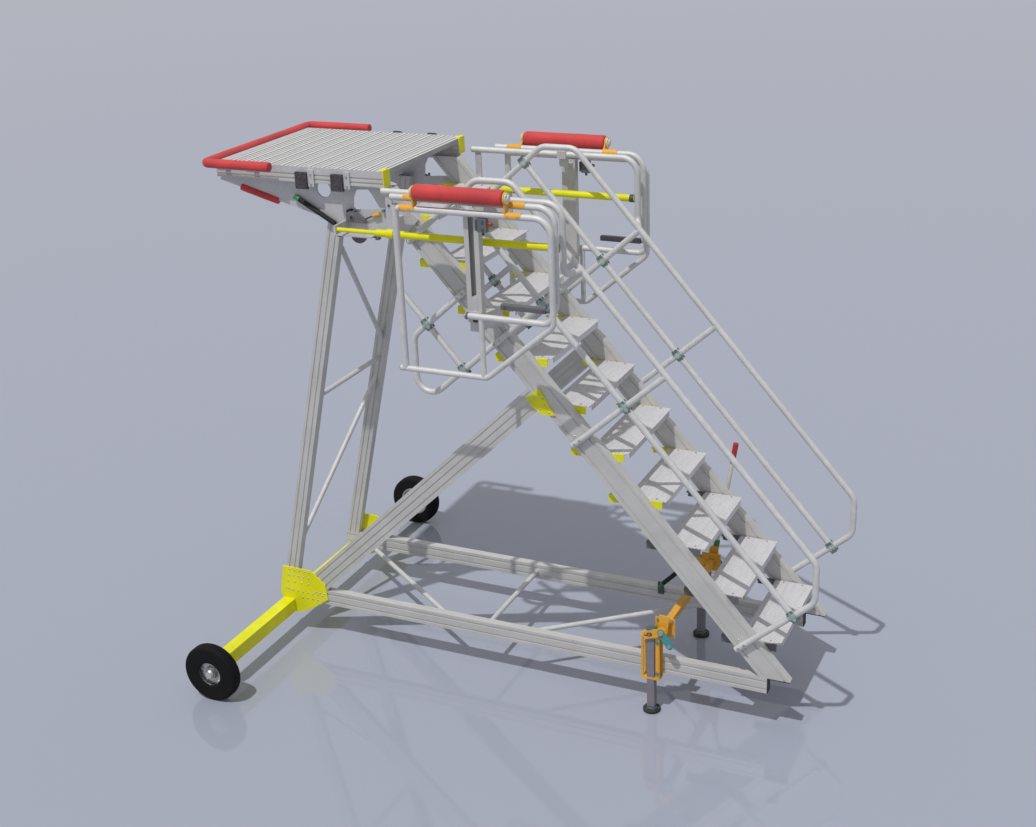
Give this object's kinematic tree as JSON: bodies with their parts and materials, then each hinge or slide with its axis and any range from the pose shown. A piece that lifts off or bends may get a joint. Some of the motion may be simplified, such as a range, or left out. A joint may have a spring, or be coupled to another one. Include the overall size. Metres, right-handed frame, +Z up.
{
  "type": "maintenance access platform",
  "caption": "Wheeled aluminium stair with a high work deck, soft bumpers, handrails, lifting side guards with rollers and jack legs.",
  "frame": {"origin": "on the floor, at the middle of the machine's length and width", "axes": "+X from the axle to the foot of the stair, +Y to the left of a person coming down the stair, +Z up"},
  "size_m": [3.5455, 2.604, 3.052],
  "materials": {
    "aluminium": "brushed",
    "tread_plate": "five bar",
    "yellow_paint": "satin",
    "orange_paint": "satin",
    "teal_paint": "satin",
    "cream_paint": "satin",
    "dark_paint": "satin",
    "black_plastic": "matt",
    "black_rubber": "matt",
    "red_foam": "matt",
    "red_plastic": "matt",
    "tyre_rubber": "matt",
    "hub_metal": "satin",
    "zinc": "zinc plated"
  },
  "bodies": {
    "base": {"axle_beam": "yellow_paint", "base_rails": "aluminium", "rear_posts": "aluminium", "diagonal_beams": "aluminium", "stringers": "aluminium", "foot_rubbers": "black_rubber", "gusset_plates": "yellow_paint", "brace_tubes": "aluminium", "treads": "tread_plate", "tread_brackets": "yellow_paint", "low_tread_brackets": "dark_paint", "deck_rails": "aluminium", "deck_beams": "aluminium", "deck_caps": "yellow_paint", "deck_planks": "aluminium", "side_plates": "aluminium", "bumper": "red_foam", "edge_sleeves": "red_foam", "rail_stops": "black_rubber", "deck_struts": "black_plastic", "handrail_left": "aluminium", "handrail_right": "aluminium", "rail_clamps": "dark_paint", "hoop_left": "aluminium", "hoop_right": "aluminium", "bar_tubes": "yellow_paint", "hangers": "aluminium", "guard_guides": "aluminium", "jack_brackets": "orange_paint", "spring_bracket": "dark_paint"},
    "wheel_left": {"tyre_left": "tyre_rubber", "hub_left": "hub_metal"},
    "wheel_right": {"tyre_right": "tyre_rubber", "hub_right": "hub_metal"},
    "guard_left": {"guard_frame_left": "aluminium", "guard_slide_left": "aluminium", "guard_fittings_left": "dark_paint", "roller_brackets_left": "orange_paint"},
    "guard_right": {"guard_frame_right": "aluminium", "guard_slide_right": "aluminium", "guard_fittings_right": "dark_paint", "roller_brackets_right": "orange_paint"},
    "roll_left": {"roller_left": "red_foam"},
    "roll_right": {"roller_right": "red_foam"},
    "rod_left": {"bar_rod_left": "yellow_paint"},
    "rod_right": {"bar_rod_right": "yellow_paint"},
    "leg_left": {"jack_leg_left": "aluminium", "jack_foot_left": "black_rubber"},
    "leg_right": {"jack_leg_right": "aluminium", "jack_foot_right": "black_rubber"},
    "lever": {"cross_shaft": "orange_paint", "shaft_cams": "orange_paint", "shaft_links": "teal_paint", "hand_lever": "cream_paint", "lever_grip": "red_plastic"},
    "spring_body": {"spring_cylinder": "black_plastic"},
    "spring_piston": {"spring_rod": "zinc"}
  },
  "joints": [
    {"name": "wheel_left_spin", "type": "hinge", "parent": "base", "child": "wheel_left", "pos_m": [-1.58175, 1.257, 0.176], "axis": [0, 1, 0], "continuous": true},
    {"name": "guard_left_lift", "type": "slide", "parent": "base", "child": "guard_left", "axis": [0, 0, 1], "range_m": [0, 0.42]},
    {"name": "roller_left_spin", "type": "hinge", "parent": "guard_left", "child": "roll_left", "pos_m": [-0.08525, 0.692, 2.984], "axis": [1, 0, 0], "continuous": true},
    {"name": "rod_left_slide", "type": "slide", "parent": "base", "child": "rod_left", "axis": [1, 0, 0], "range_m": [0, 0.25]},
    {"name": "leg_left_lift", "type": "slide", "parent": "base", "child": "leg_left", "axis": [0, 0, 1], "range_m": [0, 0.085]},
    {"name": "wheel_right_spin", "type": "hinge", "parent": "base", "child": "wheel_right", "pos_m": [-1.58175, -1.257, 0.176], "axis": [0, 1, 0], "continuous": true},
    {"name": "guard_right_lift", "type": "slide", "parent": "base", "child": "guard_right", "axis": [0, 0, 1], "range_m": [0, 0.42]},
    {"name": "roller_right_spin", "type": "hinge", "parent": "guard_right", "child": "roll_right", "pos_m": [-0.08525, -0.692, 2.984], "axis": [1, 0, 0], "continuous": true},
    {"name": "rod_right_slide", "type": "slide", "parent": "base", "child": "rod_right", "axis": [1, 0, 0], "range_m": [0, 0.25]},
    {"name": "leg_right_lift", "type": "slide", "parent": "base", "child": "leg_right", "axis": [0, 0, 1], "range_m": [0, 0.085]},
    {"name": "lever_swing", "type": "hinge", "parent": "base", "child": "lever", "pos_m": [0.91825, 0, 0.535], "axis": [0, 1, 0], "range_deg": [0, 60]},
    {"name": "spring_tilt", "type": "hinge", "parent": "base", "child": "spring_body", "pos_m": [0.61825, 0.34, 0.352], "axis": [0, 1, 0], "range_deg": [0, 7]},
    {"name": "spring_stroke", "type": "slide", "parent": "spring_body", "child": "spring_piston", "axis": [0.6954, 0, 0.7186], "range_m": [0, 0.078]}
  ],
  "couplings": [
    {"joint": "leg_left_lift", "follows": "lever_swing", "m_per_rad": 0.0804},
    {"joint": "leg_right_lift", "follows": "lever_swing", "m_per_rad": 0.0804},
    {"joint": "spring_tilt", "follows": "lever_swing", "ratio": 0.11},
    {"joint": "spring_stroke", "follows": "lever_swing", "m_per_rad": 0.0726}
  ]
}
